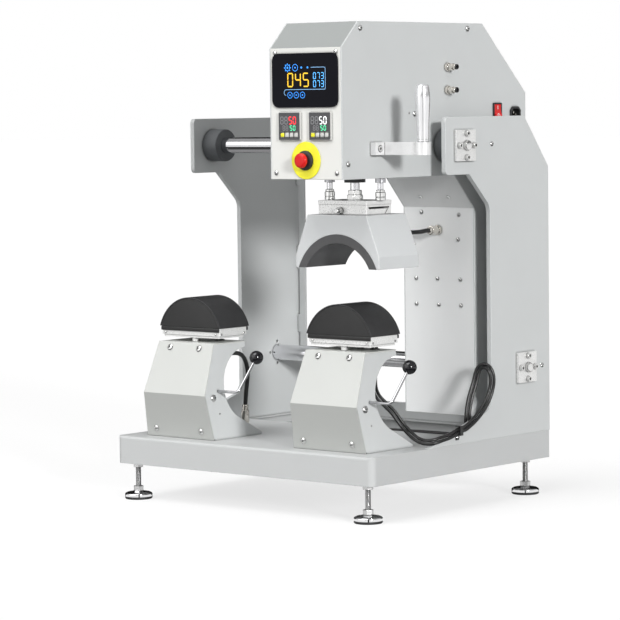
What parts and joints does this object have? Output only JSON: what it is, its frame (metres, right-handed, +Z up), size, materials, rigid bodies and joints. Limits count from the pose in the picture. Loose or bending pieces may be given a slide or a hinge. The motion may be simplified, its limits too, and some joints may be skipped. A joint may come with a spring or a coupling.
{
  "type": "cap heat press",
  "caption": "Cap heat press: a curved heating plate on a sliding carriage with a display and controllers presses down on curved cap platens on stands above a tray base.",
  "frame": {"origin": "centre of the box around the press on the floor under its feet, without the free cables", "axes": "+X to the right of a person in front of it, +Y to the back, +Z up"},
  "size_m": [0.6702, 0.5516, 0.855],
  "materials": {
    "powder_coat": "light grey powder coat, fine texture",
    "white_coat": "near-white powder coat, fine texture",
    "heater_cover_coat": "off-white powder coat, smooth",
    "shaft_chrome": "hard chromed and ground",
    "plate_steel": "ground steel",
    "zinc_steel": "zinc plated",
    "bearing_steel": "turned steel",
    "cup_chrome": "polished chrome",
    "black_rubber": "matt black rubber",
    "milled_aluminium": "milled, satin",
    "polished_aluminium": "turned and polished",
    "black_platen": "black coated aluminium, matt",
    "pad_silicone": "matt black silicone",
    "heater_aluminium": "non-stick coated cast aluminium, dark grey",
    "cable_sheath": "black sheath, soft sheen",
    "nickel": "nickel plated brass",
    "black_plastic": "moulded black plastic",
    "pale_plastic": "moulded pale grey plastic",
    "display_glass": "glossy black front",
    "knob_black": "moulded gloss black",
    "key_rubber": "silicone keys",
    "yellow_plastic": "yellow plastic",
    "red_plastic": "red plastic",
    "cylinder_black": "black anodised aluminium"
  },
  "bodies": {
    "frame": {"base_deck": "powder_coat", "rear_cross_panel": "powder_coat", "left_upright": "powder_coat", "right_upright": "powder_coat", "upper_shaft": "shaft_chrome", "lower_shaft": "shaft_chrome", "shaft_end_plates": "plate_steel", "shaft_end_bolts": "zinc_steel", "shaft_bumpers": "black_rubber", "foot_cups": "cup_chrome", "foot_rubbers": "black_rubber", "foot_rods": "zinc_steel", "foot_nuts": "zinc_steel", "left_stand_frame": "powder_coat", "right_stand_frame": "powder_coat", "stand_covers": "white_coat", "platen_plates": "milled_aluminium", "platens": "black_platen", "platen_pads": "pad_silicone", "left_platen_cable": "cable_sheath", "left_cable_gland": "nickel", "right_platen_cables": "cable_sheath", "cable_clip": "black_plastic", "deck_cable": "cable_sheath"},
    "carriage": {"left_side_plate": "powder_coat", "right_side_plate": "powder_coat", "carriage_cover": "powder_coat", "control_panel": "white_coat", "throat_panel": "powder_coat", "head_floor": "powder_coat", "linear_bearings": "bearing_steel", "touch_display": "display_glass", "left_controller": "pale_plastic", "right_controller": "pale_plastic", "estop_base": "yellow_plastic", "power_switch_frame": "black_plastic", "power_inlet": "black_plastic", "air_fittings": "nickel", "handle_bracket": "polished_aluminium", "handle_grip": "polished_aluminium", "press_cylinder": "cylinder_black", "guide_bushings": "bearing_steel", "heater_gland": "nickel", "heater_cable": "cable_sheath"},
    "ram": {"ram_rod": "shaft_chrome", "guide_rods": "shaft_chrome", "ram_nuts": "zinc_steel", "receiver_plate": "milled_aluminium", "heater_slide": "milled_aluminium", "heater_cover": "heater_cover_coat", "heating_plate": "heater_aluminium"},
    "left_lever": {"left_lever": "cup_chrome", "left_lever_knob": "knob_black"},
    "right_lever": {"right_lever": "cup_chrome", "right_lever_knob": "knob_black"},
    "estop_button": {"estop_button": "red_plastic"},
    "power_rocker": {"power_rocker": "red_plastic"},
    "left_keys": {"left_controller_keys": "key_rubber"},
    "right_keys": {"right_controller_keys": "key_rubber"},
    "spring_plunger": {"spring_plunger": "cup_chrome"}
  },
  "joints": [
    {"name": "carriage_slide", "type": "slide", "parent": "frame", "child": "carriage", "axis": [1, 0, 0], "range_m": [-0.35, 0]},
    {"name": "press_stroke", "type": "slide", "parent": "carriage", "child": "ram", "axis": [0, 0, 1], "range_m": [-0.104, 0]},
    {"name": "left_lever_turn", "type": "hinge", "parent": "frame", "child": "left_lever", "pos_m": [-0.1977, -0.18275, 0.203], "axis": [1, 0, 0], "range_deg": [0, 90]},
    {"name": "right_lever_turn", "type": "hinge", "parent": "frame", "child": "right_lever", "pos_m": [0.1523, -0.18275, 0.203], "axis": [1, 0, 0], "range_deg": [0, 90]},
    {"name": "estop_push", "type": "slide", "parent": "carriage", "child": "estop_button", "axis": [0, 1, 0], "range_m": [0, 0.0035], "stiffness_N_per_m": 1500, "springref_m": -0.003},
    {"name": "power_rocker_tilt", "type": "hinge", "parent": "carriage", "child": "power_rocker", "pos_m": [0.2303, 0.18175, 0.698], "axis": [0, -1, 0], "range_deg": [-20, 0]},
    {"name": "left_keys_push", "type": "slide", "parent": "carriage", "child": "left_keys", "axis": [0, 1, 0], "range_m": [0, 0.0005], "stiffness_N_per_m": 1000, "springref_m": -0.0005},
    {"name": "right_keys_push", "type": "slide", "parent": "carriage", "child": "right_keys", "axis": [0, 1, 0], "range_m": [0, 0.0005], "stiffness_N_per_m": 1000, "springref_m": -0.0005},
    {"name": "plunger_pull", "type": "slide", "parent": "ram", "child": "spring_plunger", "axis": [0, -1, 0], "range_m": [0, 0.0055], "stiffness_N_per_m": 1200, "springref_m": -0.004}
  ]
}
